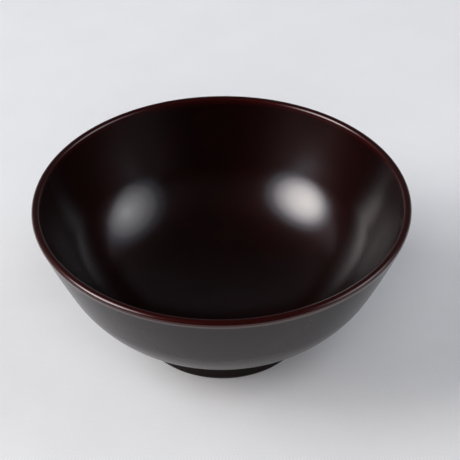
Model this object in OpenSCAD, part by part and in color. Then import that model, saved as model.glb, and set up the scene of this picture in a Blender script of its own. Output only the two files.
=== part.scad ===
// Soup bowl on a foot ring: turned wood under cloth, ground, a red coat and a clear brown one.
// The half section is drawn once, from arcs that run into each other. Every layer is that
// section set back from the finished surface to the layer's top, less the one to its underside.

/* [Bowl] */
// Outside diameter at the lip
mouth_dia = 125; // [115:0.5:135]
// Height from the table to the top of the lip
bowl_h = 55.4; // [52:0.1:60]
// Lean of the wall from upright at the lip, in degrees
wall_lean = 20; // [17:0.5:23]

/* [Outside] */
// Radius of the long, nearly straight curve below the lip
upper_r = 400; // [300:5:600]
// Radius of the belly, from that curve to the foot
belly_r = 43; // [40:0.5:46]

/* [Inside] */
// Thickness of the wall at its full-round lip
lip_w = 2.7; // [2.4:0.05:3.2]
// Thickness of the wall where the belly begins
belly_w = 3.3; // [3:0.05:3.8]
// Thickness of the floor at its middle
floor_w = 4.5; // [3.5:0.1:5.5]
// Radius of the bend from the wall to the floor
bend_r = 40; // [37:0.5:43]
// Radius of the dished floor
floor_r = 100; // [80:1:130]

/* [Foot] */
// Outside diameter of the foot ring at its edge
foot_dia = 59; // [52:0.2:62]
// Height at which the side of the foot meets the belly
foot_h = 9.7; // [7:0.1:11]
// Width of the foot ring at its edge
foot_w = 3.4; // [3.1:0.1:4.5]
// Inward lean of the side of the foot, going up, in degrees
foot_lean = 4; // [0:0.5:8]
// Radius of both corners of the foot's edge
foot_edge_r = 1.2; // [1.15:0.05:1.5]
// Radius of the hollow corner between the foot and the belly
root_r = 0.8; // [0.4:0.1:2]
// Height of the well's ceiling at its middle
well_h = 5.5; // [4.5:0.1:6.5]
// Inward lean of the well's wall, going up, in degrees
well_lean = 6; // [0:0.5:12]
// Radius of the well's corner
well_corner_r = 2.2; // [1:0.1:3]
// Radius of the well's slightly domed ceiling
well_crown_r = 300; // [150:5:600]

/* [Layers] */
// Thickness of the clear brown top coat
top_w = 0.2; // [0.15:0.01:0.25]
// How far below its round the lip's own coat runs
lip_coat_h = 0.6; // [0.3:0.05:1.2]
// Thickness of the red coat under it
red_w = 0.2; // [0.15:0.01:0.25]
// Thickness of the ground of clay and lacquer
ground_w = 0.25; // [0.2:0.01:0.3]
// Thickness of the hemp cloth, which is let into the wood
cloth_w = 0.25; // [0.2:0.01:0.3]
// Depth of the cloth strip folded over the lip
lip_cloth_h = 9; // [5:0.5:14]
// Height of the cloth strip folded round the foot ring
foot_cloth_h = 4; // [3:0.1:4.5]
// Diameter of the round of cloth on the inside of the floor
floor_cloth_dia = 50; // [30:1:56]

/* [Hidden] */

// Facets on each arc's sector, on a whole disc and round the bowl
sector_facets = 24;
disc_facets = 144;
lathe_facets = 180;
// How far a cut runs past what it cuts, and how many degrees a sector runs past its join
overrun = 1;
past = 10;

// Depths below the finished surface at which each layer starts
red_depth = top_w;
ground_depth = red_depth + red_w;
wood_depth = ground_depth + ground_w;
bare_depth = wood_depth + cloth_w;

// Unit vector at an angle, angle of a vector, and a vector turned a quarter to the left
function unit(angle) = [cos(angle), sin(angle)];
function heading(v) = atan2(v.y, v.x);
function quarter(v) = [-v.y, v.x];

// Point that is ra from a and rb from b, on the left of the way from a to b
function meet(a, ra, b, rb) =
    let (gap = norm(b - a), way = (b - a) / gap)
    let (along = (gap * gap + ra * ra - rb * rb) / (gap + gap))
    a + along * way + sqrt(ra * ra - along * along) * quarter(way);

// First crossing of a circle by the line whose points reach so far along the unit vector n
function crossing(n, reach, c, r) =
    let (side = quarter(n), off = reach - c * n)
    reach * n + (c * side - sqrt(r * r - off * off)) * side;

// Lip: a disc across the top of the wall
lip_r = lip_w / 2;
lip_c = [mouth_dia / 2 - lip_r, bowl_h - lip_r];
lip_out = unit(-wall_lean);

// Foot: both corners of its edge, and the lines of its side and of the well's wall
foot_out_c = [foot_dia / 2 - foot_edge_r, foot_edge_r];
foot_in_c = [foot_dia / 2 - foot_w + foot_edge_r, foot_edge_r];
side_out = unit(foot_lean);
well_in = unit(180 - well_lean);
side_reach = foot_out_c * side_out + foot_edge_r;
well_reach = foot_in_c * well_in + foot_edge_r;
foot_top = [(side_reach - foot_h * side_out.y) / side_out.x, foot_h];

// Outside: the upper curve leaves the lip, and the belly runs from it to the top of the foot
upper_c = lip_c - (upper_r - lip_r) * lip_out;
belly_c = meet(upper_c, upper_r - belly_r, foot_top, belly_r);
belly_start = heading(belly_c - upper_c);
root_c = crossing(side_out, side_reach + root_r, belly_c, belly_r + root_r);

// Inside: the upper curve leaves the lip and passes belly_w inside the belly's start
belly_inner = upper_c + (upper_r - belly_w) * unit(belly_start);
inner_way = belly_inner - lip_c;
inner_gap = (lip_r * lip_r - inner_way * inner_way) / (inner_way * lip_out + lip_r) / 2;
inner_r = inner_gap - lip_r;
inner_c = lip_c - inner_gap * lip_out;
floor_c = [0, well_h + floor_w + floor_r];
bend_c = meet(floor_c, floor_r - bend_r, inner_c, inner_r - bend_r);
bend_start = heading(bend_c - inner_c);
bend_end = heading(bend_c - floor_c);

// Well: its ceiling is a shallow dome, rounded into its wall
crown_c = [0, well_h - well_crown_r];
corner_c = crossing(well_in, well_reach + well_corner_r, crown_c, well_crown_r - well_corner_r);
crown_start = heading(corner_c - crown_c);

module disc(c, r) {
    translate(c)
        circle(r, $fn = disc_facets);
}

// Part of a disc between two directions
module sector(c, r, from, to) {
    half = (to - from) / 2;
    reach = 2 * r;
    translate(c)
        rotate(from)
            intersection() {
                circle(r, $fn = ceil(sector_facets * 360 / (to - from)));
                polygon([[0, 0], reach * unit(0), reach * unit(half), reach * unit(2 * half)]);
            }
}

// Space inside the bowl, grown by a depth
module hollow(depth) {
    sector(inner_c, inner_r + depth, bend_start, past - wall_lean);
    disc(bend_c, bend_r + depth);
    sector(floor_c, floor_r + depth, -90 - past, bend_end);
}

// Space under the bowl inside the foot ring, grown by a depth
module well(depth) {
    sector(crown_c, well_crown_r + depth, crown_start, 90 + past);
    disc(corner_c, well_corner_r + depth);
    polygon([
        corner_c,
        corner_c - (well_corner_r + depth) * well_in,
        foot_in_c + (foot_edge_r - depth) * well_in,
        foot_in_c,
        [foot_in_c.x, -overrun],
        [-overrun, -overrun],
        [-overrun, corner_c.y]
    ]);
}

// Foot as a full block up to the belly's middle, set back by a depth
module foot(depth) {
    difference() {
        polygon([
            [-overrun, depth],
            [foot_out_c.x, depth],
            foot_out_c,
            foot_out_c + (foot_edge_r - depth) * side_out,
            root_c - (root_r + depth) * side_out,
            root_c,
            belly_c,
            [-overrun, belly_c.y]
        ]);
        disc(root_c, root_r + depth);
    }
    disc(foot_out_c, foot_edge_r - depth);
}

// Half section of the whole bowl, set back by a depth
module section(depth) {
    intersection() {
        translate([0, -overrun])
            square(mouth_dia);
        union() {
            difference() {
                union() {
                    sector(upper_c, upper_r - depth, belly_start, -wall_lean);
                    sector(belly_c, belly_r - depth, -180, -wall_lean);
                    foot(depth);
                }
                hollow(depth);
                well(depth);
            }
            disc(lip_c, lip_r - depth);
            disc(foot_in_c, foot_edge_r - depth);
        }
    }
}

// Skin of the half section between two depths
module skin(outer_depth, inner_depth) {
    difference() {
        section(outer_depth);
        section(inner_depth);
    }
}

// Inner half of the wall: the hollow grown to the middle of the lip
module inner_zone() {
    hollow(lip_r);
}

// The lip, as far down as its own coat runs
module lip_zone() {
    translate(lip_c)
        rotate(-wall_lean)
            translate([-lip_w, -lip_coat_h])
                square([2 * lip_w, lip_coat_h + lip_w]);
}

// The foot's edge, as high as its rounded corners
module edge_zone() {
    translate([0, -overrun])
        square([foot_dia, foot_edge_r + overrun]);
}

// The well, out to the middle of the foot ring
module well_zone() {
    square([foot_dia / 2 - foot_w / 2, well_h + floor_w / 2]);
}

// The three places where cloth is let into the wood
module lip_cloth_zone() {
    translate([0, bowl_h - lip_cloth_h])
        square([mouth_dia, lip_cloth_h + overrun]);
}

module floor_cloth_zone() {
    intersection() {
        inner_zone();
        square([floor_cloth_dia / 2, bowl_h]);
    }
}

module foot_cloth_zone() {
    square([foot_dia, foot_cloth_h]);
}

module turned() {
    rotate_extrude($fn = lathe_facets)
        children();
}

module wood_core() {
    color("#b98d5e")
        turned()
            difference() {
                section(wood_depth);
                intersection() {
                    skin(wood_depth, bare_depth);
                    union() {
                        lip_cloth_zone();
                        floor_cloth_zone();
                        foot_cloth_zone();
                    }
                }
            }
}

module cloth() {
    color("#cdbf9c")
        turned()
            intersection() {
                skin(wood_depth, bare_depth);
                children();
            }
}

module lip_cloth() {
    cloth()
        lip_cloth_zone();
}

module floor_cloth() {
    cloth()
        floor_cloth_zone();
}

module foot_cloth() {
    cloth()
        foot_cloth_zone();
}

module outside_ground() {
    color("#3b332c")
        turned()
            difference() {
                skin(ground_depth, wood_depth);
                inner_zone();
            }
}

module inside_ground() {
    color("#3b332c")
        turned()
            intersection() {
                skin(ground_depth, wood_depth);
                inner_zone();
            }
}

module outside_red_coat() {
    color("#7a1410")
        turned()
            difference() {
                skin(red_depth, ground_depth);
                inner_zone();
            }
}

module inside_red_coat() {
    color("#7a1410")
        turned()
            intersection() {
                skin(red_depth, ground_depth);
                inner_zone();
            }
}

module outside_top_coat() {
    color("#1c0a08")
        turned()
            difference() {
                skin(0, red_depth);
                inner_zone();
                lip_zone();
                well_zone();
                edge_zone();
            }
}

module inside_top_coat() {
    color("#1c0807")
        turned()
            intersection() {
                skin(0, red_depth);
                difference() {
                    inner_zone();
                    lip_zone();
                }
            }
}

module lip_coat() {
    color("#5a1410")
        turned()
            intersection() {
                skin(0, red_depth);
                lip_zone();
            }
}

module well_coat() {
    color("#1c0a08")
        turned()
            intersection() {
                skin(0, red_depth);
                difference() {
                    well_zone();
                    edge_zone();
                }
            }
}

module foot_edge_coat() {
    color("#24100c")
        turned()
            intersection() {
                skin(0, red_depth);
                edge_zone();
            }
}

wood_core();
lip_cloth();
floor_cloth();
foot_cloth();
outside_ground();
inside_ground();
outside_red_coat();
inside_red_coat();
outside_top_coat();
inside_top_coat();
lip_coat();
well_coat();
foot_edge_coat();
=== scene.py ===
from math import atan2, cos, degrees, pi, radians, sin, sqrt

import bmesh
import bpy
from mathutils import Matrix, Vector


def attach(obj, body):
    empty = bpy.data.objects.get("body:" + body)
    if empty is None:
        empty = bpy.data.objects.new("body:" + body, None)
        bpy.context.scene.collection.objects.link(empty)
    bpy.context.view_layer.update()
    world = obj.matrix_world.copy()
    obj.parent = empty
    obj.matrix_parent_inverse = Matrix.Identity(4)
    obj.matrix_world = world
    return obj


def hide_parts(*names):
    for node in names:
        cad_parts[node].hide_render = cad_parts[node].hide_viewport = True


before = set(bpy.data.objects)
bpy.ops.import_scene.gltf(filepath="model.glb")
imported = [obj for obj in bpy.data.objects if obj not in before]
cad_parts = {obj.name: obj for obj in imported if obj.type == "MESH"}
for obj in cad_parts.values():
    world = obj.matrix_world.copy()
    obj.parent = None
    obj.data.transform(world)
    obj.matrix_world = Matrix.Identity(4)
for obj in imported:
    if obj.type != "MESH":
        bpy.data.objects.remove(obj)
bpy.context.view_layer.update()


# Wood core: the bowl's body, turned on a lathe from a side-grain block of pale hardwood.
# Cloth, ground and lacquer cover all of it. The year rings run across the bowl, round a
# heart that lay below it and a little to the front.
MM = 0.001


def new_finish(name, sockets):
    """A material whose shader has these sockets set."""
    finish = bpy.data.materials.new(name)
    finish.use_nodes = True
    shader = finish.node_tree.nodes["Principled BSDF"]
    for socket, value in sockets.items():
        shader.inputs[socket].default_value = value
    return finish, shader


def wire(finish, output, shader, socket):
    finish.node_tree.links.new(output, shader.inputs[socket])


def step(finish, kind, sockets, **settings):
    """One more node of a finish. A socket takes a value or another node's output."""
    made = finish.node_tree.nodes.new(kind)
    for name, value in settings.items():
        setattr(made, name, value)
    for socket, value in sockets.items():
        if isinstance(value, bpy.types.NodeSocket):
            wire(finish, value, made, socket)
        else:
            made.inputs[socket].default_value = value
    return made


def spot(finish, shift=(0, 0, 0), stretch=(1, 1, 1)):
    """The place on the piece, in metres, stretched and then shifted."""
    here = step(finish, "ShaderNodeTexCoord", {})
    moved = step(finish, "ShaderNodeMapping",
                 {"Vector": here.outputs["Object"], "Location": shift, "Scale": stretch})
    return moved.outputs["Vector"]


def mottle(finish, place, detail=2.0):
    """A soft irregular value from 0 to 1."""
    noise = step(finish, "ShaderNodeTexNoise", {"Vector": place, "Scale": 1, "Detail": detail})
    return noise.outputs["Fac"]


def shades(finish, value, stops):
    """Colours spread over a value from 0 to 1, each stop a place and a colour."""
    ramp = step(finish, "ShaderNodeValToRGB", {"Fac": value})
    band = ramp.color_ramp
    while len(band.elements) < len(stops):
        band.elements.new(0.5)
    for element, (place, colour) in zip(band.elements, stops):
        element.position = place
        element.color = (*colour, 1)
    return ramp.outputs["Color"]


def mixed(finish, share, first, second, way="MIX"):
    """Two colours mixed. Inputs 0, 6 and 7 of the node are its share and its colours."""
    mix = step(finish, "ShaderNodeMix", {0: share, 6: first, 7: second},
               data_type="RGBA", blend_type=way)
    return mix.outputs[2]


def relief(finish, shader, height, depth, socket="Normal"):
    """Raises the surface by a height from 0 to 1, times a depth in metres."""
    bump = step(finish, "ShaderNodeBump", {"Height": height, "Distance": depth})
    wire(finish, bump.outputs["Normal"], shader, socket)


def dress(nodes, finish):
    """Gives solids of the frame their finish."""
    for name in nodes:
        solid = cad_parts[name]
        solid.data.materials.clear()
        solid.data.materials.append(finish)


heart_shift = (0, 30 * MM, 75 * MM)
pore_stretch = (350, 4200, 4200)
pore_share = 0.35
pore_depth = 0.03 * MM

pale_wood, pale_wood_shader = new_finish("pale_wood", {"Roughness": 0.62, "IOR": 1.45})
year_rings = step(pale_wood, "ShaderNodeTexWave",
                  {"Vector": spot(pale_wood, shift=heart_shift), "Scale": 190,
                   "Distortion": 2.4, "Detail": 3, "Detail Scale": 0.6},
                  wave_type="RINGS", rings_direction="X", wave_profile="SAW")
wood_pores = mottle(pale_wood, spot(pale_wood, stretch=pore_stretch))
ring_tone = shades(pale_wood, year_rings.outputs["Fac"],
                   [(0, (0.50, 0.32, 0.17)), (0.75, (0.42, 0.25, 0.12)), (1, (0.25, 0.13, 0.055))])
pore_tone = shades(pale_wood, wood_pores, [(0.35, (0.20, 0.10, 0.05)), (0.55, (0.52, 0.34, 0.19))])
wire(pale_wood, mixed(pale_wood, pore_share, ring_tone, pore_tone), pale_wood_shader, "Base Color")
relief(pale_wood, pale_wood_shader, wood_pores, pore_depth)
dress(["wood_core"], pale_wood)


# Hemp cloth: a strip round the lip, a disc in the floor and a strip round the foot's edge.
# They are pasted on with lacquer and let into the wood where a bowl cracks first, in plain
# weave of about eight threads to the centimetre, stained brown by the lacquer.
thread_pitch = 1.25 * MM
thread_depth = 0.12 * MM
one_wave_scale = 2 * pi / 20

hemp, hemp_shader = new_finish("lacquered_hemp", {"Roughness": 0.8, "Sheen Weight": 0.15})
threads = [step(hemp, "ShaderNodeTexWave",
                {"Vector": spot(hemp, stretch=(1 / thread_pitch,) * 3), "Scale": one_wave_scale,
                 "Distortion": 0.6, "Detail": 1},
                wave_type="BANDS", bands_direction=way).outputs["Fac"] for way in "XY"]
weave = step(hemp, "ShaderNodeMath", {0: threads[0], 1: threads[1]}, operation="MULTIPLY")
hemp_tone = shades(hemp, weave.outputs["Value"],
                   [(0, (0.10, 0.055, 0.025)), (0.6, (0.46, 0.36, 0.22)), (1, (0.58, 0.48, 0.32))])
wire(hemp, hemp_tone, hemp_shader, "Base Color")
relief(hemp, hemp_shader, weave.outputs["Value"], thread_depth)
dress(["lip_cloth", "floor_cloth", "foot_cloth"], hemp)


# Ground: fired clay powder stirred into raw lacquer, spread with a spatula inside and out
# and rubbed flat with a stone, so that it is matt, dark grey-brown and faintly grainy.
grain_stretch = 2600
grain_depth = 0.02 * MM

clay, clay_shader = new_finish("clay_and_lacquer", {"Roughness": 0.85})
clay_grain = mottle(clay, spot(clay, stretch=(grain_stretch,) * 3), detail=4)
clay_tone = shades(clay, clay_grain, [(0.35, (0.022, 0.018, 0.014)), (0.7, (0.055, 0.046, 0.037))])
wire(clay, clay_tone, clay_shader, "Base Color")
relief(clay, clay_shader, clay_grain, grain_depth)
dress(["outside_ground", "inside_ground"], clay)


# Red middle coats: lacquer with vermilion or iron oxide, brushed on inside and outside.
# They stay under the brown coat, and colour it wherever it is thin.
def ring_spot(finish, stretch):
    """A place that is the same all the way round the bowl: distance from its axis, and height."""
    here = step(finish, "ShaderNodeTexCoord", {})
    flat = step(finish, "ShaderNodeVectorMath", {0: here.outputs["Object"], 1: (1, 1, 0)},
                operation="MULTIPLY")
    reach = step(finish, "ShaderNodeVectorMath", {0: flat.outputs["Vector"]}, operation="LENGTH")
    apart = step(finish, "ShaderNodeSeparateXYZ", {"Vector": here.outputs["Object"]})
    together = step(finish, "ShaderNodeCombineXYZ",
                    {"X": reach.outputs["Value"], "Z": apart.outputs["Z"]})
    moved = step(finish, "ShaderNodeMapping",
                 {"Vector": together.outputs["Vector"], "Scale": (stretch, 1, stretch)})
    return moved.outputs["Vector"]


red_stroke_stretch = 1800
red_stroke_depth = 0.01 * MM

red, red_shader = new_finish("red_lacquer", {"Roughness": 0.4, "IOR": 1.52})
red_strokes = mottle(red, ring_spot(red, red_stroke_stretch))
red_tone = shades(red, red_strokes, [(0.3, (0.23, 0.018, 0.008)), (0.7, (0.31, 0.028, 0.012))])
wire(red, red_tone, red_shader, "Base Color")
relief(red, red_shader, red_strokes, red_stroke_depth)
dress(["outside_red_coat", "inside_red_coat"], red)


# Outside brown coat: see-through brown lacquer brushed over the red, from under the lip to
# the foot's edge. It is so dark that the red only glows through where it thins towards
# the lip, and its skin is glossy with the faintest brush rings.
mouth_dia = 125
bowl_h = 55.4
wall_lean = 20
lip_w = 2.7
lip_coat_h = 0.6
upper_r = 400
belly_r = 43
root_r = 0.8
foot_h = 9.7
foot_dia = 59
foot_lean = 4
foot_edge_r = 1.2
brown_coat_w = 0.2

round_steps = 288
weld_gap = 0.0005
crease = 40


def unit(heading):
    """One millimetre in a direction in degrees. Places are out from the axis, and up."""
    return Vector((cos(radians(heading)), sin(radians(heading))))


def heading_of(way):
    return degrees(atan2(way.y, way.x))


def left_of(way):
    return Vector((-way.y, way.x))


def meet(a, a_r, b, b_r):
    """The point that is a_r from a and b_r from b, on the left of the way from a to b."""
    way = b - a
    along = (way.length_squared + a_r ** 2 - b_r ** 2) / (2 * way.length)
    across = sqrt(a_r ** 2 - along ** 2)
    way.normalize()
    return a + along * way + across * left_of(way)


def crossing(normal, reach, centre, r):
    """The first crossing of a circle by the line that lies a reach out along its normal."""
    side = left_of(normal)
    across = sqrt(r ** 2 - (reach - centre.dot(normal)) ** 2)
    return reach * normal + (centre.dot(side) - across) * side


def on_lathe(point):
    """A point of the section in metres, on the plane that the lathe turns."""
    return point.x * MM, 0, point.y * MM


def start_line(section, point):
    return section.verts.new(on_lathe(point))


def line_to(section, end, point):
    """Draws the section's line on to a point."""
    drawn = bmesh.ops.extrude_vert_indiv(section, verts=[end])["verts"][0]
    drawn.co = on_lathe(point)
    return drawn


def arc_to(section, end, centre, turn, steps):
    """Draws the section's line on, round a centre by a turn in degrees."""
    drawn = bmesh.ops.spin(section, geom=[end], cent=on_lathe(centre),
                           axis=(0, -1, 0), angle=radians(turn), steps=steps)
    return next(v for v in drawn["geom_last"] if isinstance(v, bmesh.types.BMVert))


def coat(name, section, thickness, finish, node, inside=False):
    """Turns a section round the axis, gives it its thickness and puts it in the node's place."""
    bmesh.ops.spin(section, geom=section.verts[:] + section.edges[:], cent=(0, 0, 0),
                   axis=(0, 0, 1), angle=2 * pi, steps=round_steps, use_merge=True)
    bmesh.ops.remove_doubles(section, verts=section.verts, dist=weld_gap * MM)
    bmesh.ops.recalc_face_normals(section, faces=section.faces)
    rim = max(section.faces, key=lambda face: face.calc_center_median().xy.length)
    faces_out = rim.normal.xy.dot(rim.calc_center_median().xy) > 0
    if faces_out == inside:
        bmesh.ops.reverse_faces(section, faces=section.faces)
    bmesh.ops.solidify(section, geom=section.faces, thickness=thickness * MM)
    for face in section.faces:
        face.smooth = True
    for edge in section.edges:
        edge.smooth = edge.calc_face_angle(0) < radians(crease)
    mesh = bpy.data.meshes.new(name)
    section.to_mesh(mesh)
    section.free()
    mesh.materials.append(finish)
    piece = bpy.data.objects.new(name, mesh)
    bpy.context.scene.collection.objects.link(piece)
    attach(piece, "root")
    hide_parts(node)


brown_deep = (0.0018, 0.0002, 0.00016)
brown_warm = (0.0036, 0.0004, 0.0003)
brown_thin = (0.012, 0.0006, 0.0004)
stroke_dark_share = 0.8
cloud_stretch = 110
stroke_stretch = 900
skin_stretch = 1500
skin_depth = 0.0006 * MM
rubbed = {"Specular IOR Level": 0.05, "Coat Weight": 0.6, "Coat IOR": 1.4,
          "Coat Roughness": 0.14}
wall_thins = (52.6, 54.4)


def brown_finish(name, gloss, thins):
    """Brown lacquer over red, which thins from one height to another, in millimetres.

    Its skin is the coat. The faint, wide red gloss under it is light back off the red.
    """
    finish, shader = new_finish(name, {"Roughness": 0.5, "IOR": 1.5,
                                       "Specular Tint": (1, 0.13, 0.10, 1), **gloss})
    clouds = mottle(finish, spot(finish, stretch=(cloud_stretch,) * 3), detail=3)
    strokes = mottle(finish, ring_spot(finish, stroke_stretch))
    body = shades(finish, clouds, [(0.35, brown_deep), (0.7, brown_warm)])
    in_stroke = tuple(stroke_dark_share * part for part in brown_thin)
    thinned = shades(finish, strokes, [(0.2, in_stroke), (0.8, brown_thin)])
    here = step(finish, "ShaderNodeTexCoord", {})
    apart = step(finish, "ShaderNodeSeparateXYZ", {"Vector": here.outputs["Object"]})
    thin_from, thin_to = thins
    thin = step(finish, "ShaderNodeMapRange",
                {"Value": apart.outputs["Z"], "From Min": thin_from * MM, "From Max": thin_to * MM},
                interpolation_type="SMOOTHSTEP")
    wire(finish, mixed(finish, thin.outputs["Result"], body, thinned), shader, "Base Color")
    skin = mottle(finish, spot(finish, stretch=(skin_stretch,) * 3), detail=1)
    rings_and_skin = step(finish, "ShaderNodeMath", {0: skin, 1: strokes}, operation="ADD")
    relief(finish, shader, rings_and_skin.outputs["Value"], skin_depth, "Coat Normal")
    return finish


outer_brown = brown_finish("outer_brown_lacquer", rubbed, wall_thins)

lip_r = lip_w / 2
lip_c = Vector((mouth_dia / 2 - lip_r, bowl_h - lip_r))
lip_out = unit(-wall_lean)
lip_down = unit(-wall_lean - 90)
foot_out_c = Vector((foot_dia / 2 - foot_edge_r, foot_edge_r))
foot_side = unit(foot_lean)
foot_reach = foot_out_c.dot(foot_side) + foot_edge_r
foot_top = Vector(((foot_reach - foot_h * foot_side.y) / foot_side.x, foot_h))
upper_c = lip_c - (upper_r - lip_r) * lip_out
belly_c = meet(upper_c, upper_r - belly_r, foot_top, belly_r)
root_c = crossing(foot_side, foot_reach + root_r, belly_c, belly_r + root_r)
outside_start = heading_of(lip_c + lip_r * lip_out + lip_coat_h * lip_down - upper_c)
belly_start = heading_of(belly_c - upper_c)
belly_end = heading_of(root_c - belly_c)
root_start = heading_of(belly_c - root_c)

outside = bmesh.new()
end = start_line(outside, upper_c + upper_r * unit(outside_start))
end = arc_to(outside, end, upper_c, belly_start - outside_start, steps=16)
end = arc_to(outside, end, belly_c, belly_end - belly_start, steps=64)
end = arc_to(outside, end, root_c, 180 + foot_lean - root_start, steps=12)
end = line_to(outside, end, foot_out_c + foot_edge_r * foot_side)
end = arc_to(outside, end, foot_out_c, -foot_lean, steps=2)
coat("outside_lacquer", outside, brown_coat_w, outer_brown, "outside_top_coat")


# Inside brown coat: the same lacquer brushed over the hollow in one pass, from the lip down
# to the middle of the floor, and glossier than on the outside.
belly_w = 3.3
floor_w = 4.5
bend_r = 40
floor_r = 100
well_h = 5.5
polished = {"Specular IOR Level": 0.12, "Coat Weight": 1, "Coat IOR": 1.58,
            "Coat Roughness": 0.16}

inner_brown = brown_finish("inner_brown_lacquer", polished, wall_thins)

inner_way = upper_c + (upper_r - belly_w) * unit(belly_start) - lip_c
inner_gap = (lip_r ** 2 - inner_way.length_squared) / (inner_way.dot(lip_out) + lip_r) / 2
inner_r = inner_gap - lip_r
inner_c = lip_c - inner_gap * lip_out
floor_c = Vector((0, well_h + floor_w + floor_r))
bend_c = meet(floor_c, floor_r - bend_r, inner_c, inner_r - bend_r)
inside_start = heading_of(lip_c - lip_r * lip_out + lip_coat_h * lip_down - inner_c)
bend_start = heading_of(bend_c - inner_c)
bend_end = heading_of(bend_c - floor_c)

hollow = bmesh.new()
end = start_line(hollow, inner_c + inner_r * unit(inside_start))
end = arc_to(hollow, end, inner_c, bend_start - inside_start, steps=20)
end = arc_to(hollow, end, bend_c, bend_end - bend_start, steps=48)
end = arc_to(hollow, end, floor_c, -90 - bend_end, steps=30)
coat("inside_lacquer", hollow, brown_coat_w, inner_brown, "inside_top_coat",
     inside=True)


# Lip coat: a narrow band of the same lacquer, drawn once round the full-round lip with the
# tip of the brush. It stays thinnest there, so the red shows through as a brown-red line.
brushed = {"Specular IOR Level": 0.28, "Coat Weight": 1, "Coat IOR": 1.5,
           "Coat Roughness": 0.14}
lip_thins = (40, 50)

lip_brown = brown_finish("thin_lip_lacquer", brushed, lip_thins)
lip = bmesh.new()
end = start_line(lip, upper_c + upper_r * unit(outside_start))
end = arc_to(lip, end, upper_c, -wall_lean - outside_start, steps=2)
end = arc_to(lip, end, lip_c, 180, steps=90)
end = arc_to(lip, end, inner_c, inside_start + wall_lean, steps=2)
coat("lip_lacquer", lip, brown_coat_w, lip_brown, "lip_coat")


# Well coat: brown lacquer under the bowl, inside the foot ring. The ceiling is turned as a
# shallow dome, so that the bowl stands on its ring alone.
foot_w = 3.4
well_lean = 6
well_corner_r = 2.2
well_crown_r = 300

foot_in_c = Vector((foot_dia / 2 - foot_w + foot_edge_r, foot_edge_r))
well_side = unit(180 - well_lean)
well_reach = foot_in_c.dot(well_side) + foot_edge_r
crown_c = Vector((0, well_h - well_crown_r))
corner_c = crossing(well_side, well_reach + well_corner_r, crown_c, well_crown_r - well_corner_r)
crown_start = heading_of(corner_c - crown_c)

well = bmesh.new()
end = start_line(well, foot_in_c + foot_edge_r * unit(180))
end = arc_to(well, end, foot_in_c, -well_lean, steps=2)
end = line_to(well, end, corner_c + well_corner_r * unit(-well_lean))
end = arc_to(well, end, corner_c, crown_start + well_lean, steps=16)
end = arc_to(well, end, crown_c, 90 - crown_start, steps=24)
coat("well_lacquer", well, brown_coat_w, outer_brown, "well_coat", inside=True)


# Foot edge coat: the ring the bowl stands on, lacquered last, standing upside down. Use rubs
# it, so it is a little redder than the wall.
foot_thins = (1.6, 0.2)

foot_brown = brown_finish("foot_edge_lacquer", rubbed, foot_thins)
foot_edge = bmesh.new()
end = start_line(foot_edge, foot_out_c + foot_edge_r * unit(0))
end = arc_to(foot_edge, end, foot_out_c, -90, steps=16)
end = line_to(foot_edge, end, foot_in_c + foot_edge_r * unit(-90))
end = arc_to(foot_edge, end, foot_in_c, -90, steps=16)
coat("foot_edge_lacquer", foot_edge, brown_coat_w, foot_brown, "foot_edge_coat")


# Table: a sheet of white table linen under the bowl, in a fine plain weave, a little cloudy
# from washing and ironing.
linen_thread_w = 0.55 * MM
linen_cloud_stretch = 40
table_half_w = 0.9
table_gap = 0.02 * MM

linen, linen_shader = new_finish("white_linen", {"Roughness": 0.9, "IOR": 1.3,
                                                 "Specular IOR Level": 0.25})
linen_clouds = mottle(linen, spot(linen, stretch=(linen_cloud_stretch,) * 3))
linen_tone = shades(linen, linen_clouds, [(0.3, (0.815, 0.81, 0.82)), (0.7, (0.84, 0.83, 0.845))])
linen_weave = step(linen, "ShaderNodeTexChecker",
                   {"Vector": spot(linen, stretch=(1 / linen_thread_w,) * 3), "Scale": 1,
                    "Color1": (0.89, 0.89, 0.89, 1), "Color2": (1, 1, 1, 1)})
wire(linen, mixed(linen, 1, linen_tone, linen_weave.outputs["Color"], "MULTIPLY"),
     linen_shader, "Base Color")
table = bmesh.new()
bmesh.ops.create_grid(table, x_segments=8, y_segments=8, size=table_half_w)
table_mesh = bpy.data.meshes.new("table")
table.to_mesh(table_mesh)
table.free()
table_mesh.materials.append(linen)
table_top = bpy.data.objects.new("table", table_mesh)
table_top.location.z = -table_gap
bpy.context.scene.collection.objects.link(table_top)


# Lights: a large round soft box on the left and a dimmer one on the right, each brightest in
# its middle and with a faint glow round it that only the gloss shows. Four plain fills light
# the table and the bowl's own colour, and are kept out of the gloss.
aim_h = 30 * MM
first_ring_far = 2.8
ring_gap = 0.1
fill_far = 3.0


def light(name, towards, far, size, brightness, colour, shape="RECTANGLE"):
    """An area light that faces the bowl, no dimmer from further off.

    Its size is a share of its distance.
    """
    lamp = bpy.data.lights.new(name, "AREA")
    lamp.shape = shape
    lamp.size, lamp.size_y = (far * share for share in size)
    lamp.energy = brightness * pi * lamp.size * lamp.size_y * (pi / 4 if shape == "ELLIPSE" else 1)
    lamp.color = colour
    box = bpy.data.objects.new(name, lamp)
    way = Vector(towards).normalized()
    box.location = way * far + Vector((0, 0, aim_h))
    box.rotation_euler = way.to_track_quat("Z", "Y").to_euler()
    bpy.context.scene.collection.objects.link(box)
    return box


def soft_box(name, towards, drift, height_share, lit, rings):
    """A round soft box as rings of light, one behind another and each a little aside.

    A ring is its width, brightness and colour. The first few, as many as are lit, light the
    table. The others show in the gloss alone.
    """
    for number, (width, brightness, colour) in enumerate(rings):
        ring = light(f"{name}_{number}", Vector(towards) + number * Vector(drift),
                     first_ring_far + ring_gap * number, (width, height_share * width),
                     brightness, colour, "ELLIPSE")
        ring.visible_diffuse = number < lit


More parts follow.
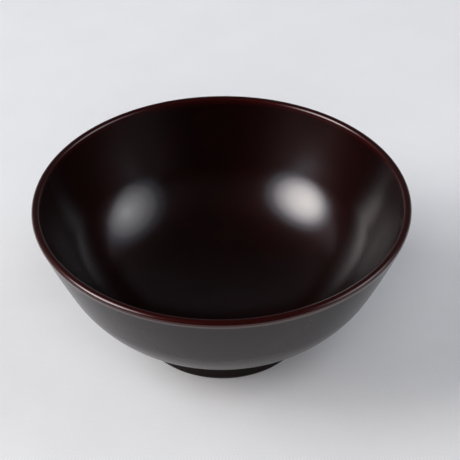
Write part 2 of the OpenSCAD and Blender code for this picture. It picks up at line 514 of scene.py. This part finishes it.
soft_box("left_box", towards=(-0.826, -0.208, 0.514), drift=(0.004, -0.012, 0.007),
         height_share=0.87, lit=4,
         rings=[(0.20, 1.50, (1, 0.90, 0.80)),
                (0.34, 1.50, (1, 0.85, 0.80)),
                (0.49, 3.20, (1, 1, 0.90)),
                (0.61, 2.30, (0.98, 0.99, 1)),
                (0.76, 3.20, (1, 0.96, 0.98)),
                (1.00, 1.00, (0.65, 0.85, 1))])
soft_box("right_box", towards=(0.878, -0.036, 0.477), drift=(-0.004, -0.011, 0.004),
         height_share=0.85, lit=0,
         rings=[(0.16, 1.00, (0.86, 1, 0.98)),
                (0.26, 0.50, (0.90, 1, 1)),
                (0.38, 0.53, (1, 0.92, 0.88)),
                (0.54, 0.85, (0.90, 0.97, 1)),
                (0.78, 0.98, (0.95, 0.95, 1)),
                (1.05, 0.34, (0.6, 0.8, 1))])
for name, towards, size, brightness, colour in (
        ("left_fill", (-0.707, 0, 0.707), (0.59, 0.46), 4.5, (0.97, 0.98, 1)),
        ("front_fill", (0, -0.730, 0.683), (0.59, 0.90), 3.5, (1, 0.98, 0.99)),
        ("right_fill", (0.707, 0, 0.707), (0.60, 0.90), 0.90, (0.78, 0.90, 1)),
        ("back_fill", (-0.355, 0.858, 0.375), (1.45, 0.35), 2.1, (0.82, 0.94, 1))):
    fill = light(name, towards, fill_far, size, brightness, colour)
    fill.visible_glossy = False


# Room: dark but for a glow at both sides, which the bowl's wall mirrors, and a fainter one
# behind the bowl, both fading towards the camera. The camera sees a pale wall past the table.
pale_wall = (0.71, 0.72, 0.75, 1)
side_starts, side_full = 0.65, 0.9
front_share = 0.05

room = bpy.data.worlds.new("dim_room")
room.use_nodes = True
way_out = step(room, "ShaderNodeTexCoord", {})
ways = step(room, "ShaderNodeSeparateXYZ", {"Vector": way_out.outputs["Generated"]})
at_sides = shades(room, ways.outputs["Z"], [(0.05, (0.02, 0.02, 0.02)),
                                            (0.30, (0.06, 0.05, 0.06)),
                                            (0.44, (0.42, 0.40, 0.44)),
                                            (0.60, (0.34, 0.32, 0.36)),
                                            (0.80, (0.12, 0.11, 0.13)),
                                            (0.94, (0.03, 0.03, 0.03))])
behind = shades(room, ways.outputs["Z"], [(0.25, (0.15, 0.15, 0.16)),
                                          (0.45, (0.03, 0.03, 0.03)),
                                          (0.6, (0.085, 0.08, 0.09)),
                                          (0.94, (0.03, 0.03, 0.03))])
across = step(room, "ShaderNodeMath", {0: ways.outputs["X"]}, operation="ABSOLUTE")
sideways = step(room, "ShaderNodeMapRange",
                {"Value": across.outputs["Value"], "From Min": side_starts, "From Max": side_full},
                interpolation_type="SMOOTHSTEP")
away = step(room, "ShaderNodeMapRange",
            {"Value": ways.outputs["Y"], "From Min": -1, "From Max": -0.4,
             "To Min": front_share, "To Max": 1},
            interpolation_type="SMOOTHSTEP")
glow = step(room, "ShaderNodeVectorMath",
            {0: mixed(room, sideways.outputs["Result"], behind, at_sides),
             "Scale": away.outputs["Result"]}, operation="SCALE")
seen = step(room, "ShaderNodeLightPath", {})
wire(room, mixed(room, seen.outputs["Is Camera Ray"], glow.outputs["Vector"], pale_wall),
     room.node_tree.nodes["Background"], "Color")
bpy.context.scene.world = room


# Camera: a long lens in front of the bowl and above it, looking down into it. It is turned
# aside and tipped by less than a degree each, as a camera set up by eye is.
camera_back = 0.34856
camera_h = 0.31431
look_down = radians(38.083)
look_right = radians(0.349)
lean = radians(-0.684)

camera = bpy.data.cameras.new("camera")
camera.lens = 102.98
camera.sensor_width = 36
viewer = bpy.data.objects.new("camera", camera)
ahead = Vector((0, cos(look_down), -sin(look_down)))
side = Vector((1, 0, 0))
above = side.cross(ahead)
ahead, side = (ahead * cos(look_right) + side * sin(look_right),
               side * cos(look_right) - ahead * sin(look_right))
side, above = side * cos(lean) + above * sin(lean), above * cos(lean) - side * sin(lean)
stand = Matrix((side, above, -ahead)).transposed().to_4x4()
stand.translation = (0, -camera_back, camera_h)
viewer.matrix_world = stand
bpy.context.scene.collection.objects.link(viewer)
bpy.context.scene.camera = viewer
bpy.context.scene.view_settings.view_transform = "Standard"
